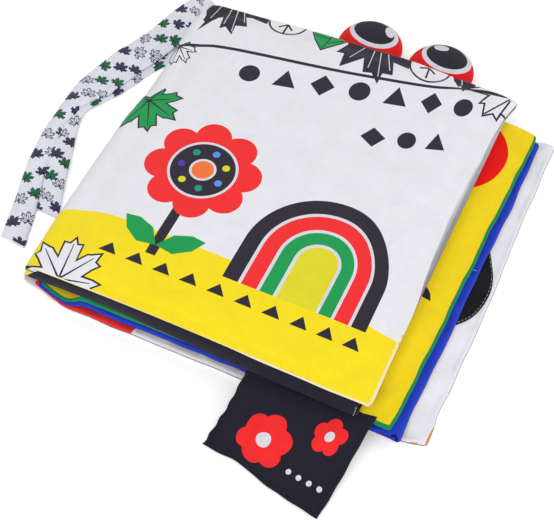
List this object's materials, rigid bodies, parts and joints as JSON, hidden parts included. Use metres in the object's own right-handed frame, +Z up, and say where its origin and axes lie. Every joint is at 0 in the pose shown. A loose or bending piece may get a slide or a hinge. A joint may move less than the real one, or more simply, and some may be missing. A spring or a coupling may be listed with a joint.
{
  "type": "crinkle cloth book",
  "caption": "Soft cloth baby book with padded covers, crinkle leaves, a hanging flap, padded eyes that stand above the pages and two tie straps.",
  "frame": {"origin": "middle of the back cover's flat underside, on the surface that the closed book lies on", "axes": "+Z up out of the closed book, +X from the spine to the free edges, +Y from the pages' bottom edge to their top edge"},
  "size_m": [0.2265, 0.2457, 0.0255],
  "materials": {
    "white_cloth": "matte printed polyester cloth",
    "black_cloth": "matte polyester cloth",
    "yellow_cloth": "matte printed polyester cloth",
    "green_cloth": "matte printed polyester cloth",
    "blue_cloth": "matte printed polyester cloth",
    "red_cloth": "matte polyester cloth",
    "tie_cloth": "soft printed cloth, sewn double",
    "patch": "grained touch patch",
    "crinkle_film": "thin crinkle film",
    "wadding": "loose polyester wadding"
  },
  "bodies": {
    "back_cover": {"back_cover_front_cloth": "white_cloth", "back_cover_back_cloth": "white_cloth", "back_cover_wadding": "wadding", "back_cover_film": "crinkle_film", "back_cover_margin": "red_cloth", "leaf_three_margin": "blue_cloth", "leaf_two_margin": "yellow_cloth", "spine_cloth": "white_cloth", "touch_patch": "patch", "tie_short_root": "tie_cloth", "tie_long_root": "tie_cloth"},
    "front_cover": {"front_cover_front_cloth": "white_cloth", "front_cover_back_cloth": "black_cloth", "front_cover_wadding": "wadding", "front_cover_film": "crinkle_film"},
    "leaf_two": {"leaf_two_front_cloth": "yellow_cloth", "leaf_two_back_cloth": "green_cloth", "leaf_two_wadding": "wadding", "leaf_two_film": "crinkle_film", "flap_tab": "black_cloth", "left_eye_tab": "red_cloth", "right_eye_tab": "red_cloth"},
    "leaf_three": {"leaf_three_front_cloth": "blue_cloth", "leaf_three_back_cloth": "black_cloth", "leaf_three_wadding": "wadding", "leaf_three_film": "crinkle_film"},
    "flap": {"flap_face_cloth": "black_cloth", "flap_back_cloth": "black_cloth", "flap_filling": "wadding"},
    "left_eye": {"left_eye_front_cloth": "red_cloth", "left_eye_back_cloth": "red_cloth", "left_eye_stuffing": "wadding"},
    "right_eye": {"right_eye_front_cloth": "red_cloth", "right_eye_back_cloth": "red_cloth", "right_eye_stuffing": "wadding"},
    "tie_short": {"tie_short": "tie_cloth"},
    "tie_long": {"tie_long": "tie_cloth"}
  },
  "joints": [
    {"name": "front_cover_hinge", "type": "hinge", "parent": "back_cover", "child": "front_cover", "pos_m": [-0.0955, 0, 0.01395], "axis": [0, -1, 0], "range_deg": [0, 165]},
    {"name": "leaf_two_hinge", "type": "hinge", "parent": "back_cover", "child": "leaf_two", "pos_m": [-0.0825, 0, 0.0056], "axis": [0, -1, 0], "range_deg": [0, 75]},
    {"name": "leaf_three_hinge", "type": "hinge", "parent": "back_cover", "child": "leaf_three", "pos_m": [-0.0825, 0, 0.0038], "axis": [0, -1, 0], "range_deg": [0, 25]},
    {"name": "flap_hinge", "type": "hinge", "parent": "leaf_two", "child": "flap", "pos_m": [0.0315, -0.08635, 0.01255], "axis": [-1, 0, 0], "range_deg": [0, 80]},
    {"name": "left_eye_bend", "type": "hinge", "parent": "leaf_two", "child": "left_eye", "pos_m": [-0.01915, 0.08635, 0.01255], "axis": [1, 0, 0], "range_deg": [-12, 65], "stiffness_Nm_per_rad": 0.05},
    {"name": "right_eye_bend", "type": "hinge", "parent": "leaf_two", "child": "right_eye", "pos_m": [0.01735, 0.08635, 0.01255], "axis": [1, 0, 0], "range_deg": [-12, 65], "stiffness_Nm_per_rad": 0.05},
    {"name": "tie_short_swing", "type": "hinge", "parent": "back_cover", "child": "tie_short", "pos_m": [-0.1005, 0.10549, 0.0005], "axis": [0, 0, -1], "range_deg": [0, 55]},
    {"name": "tie_long_swing", "type": "hinge", "parent": "tie_short", "child": "tie_long", "pos_m": [-0.1005, 0.10549, 0.0019], "axis": [0, 0, -1], "range_deg": [0, 30]}
  ],
  "couplings": [
    {"joint": "leaf_two_hinge", "follows": "front_cover_hinge", "ratio": 0.45},
    {"joint": "leaf_three_hinge", "follows": "front_cover_hinge", "ratio": 0.15}
  ]
}
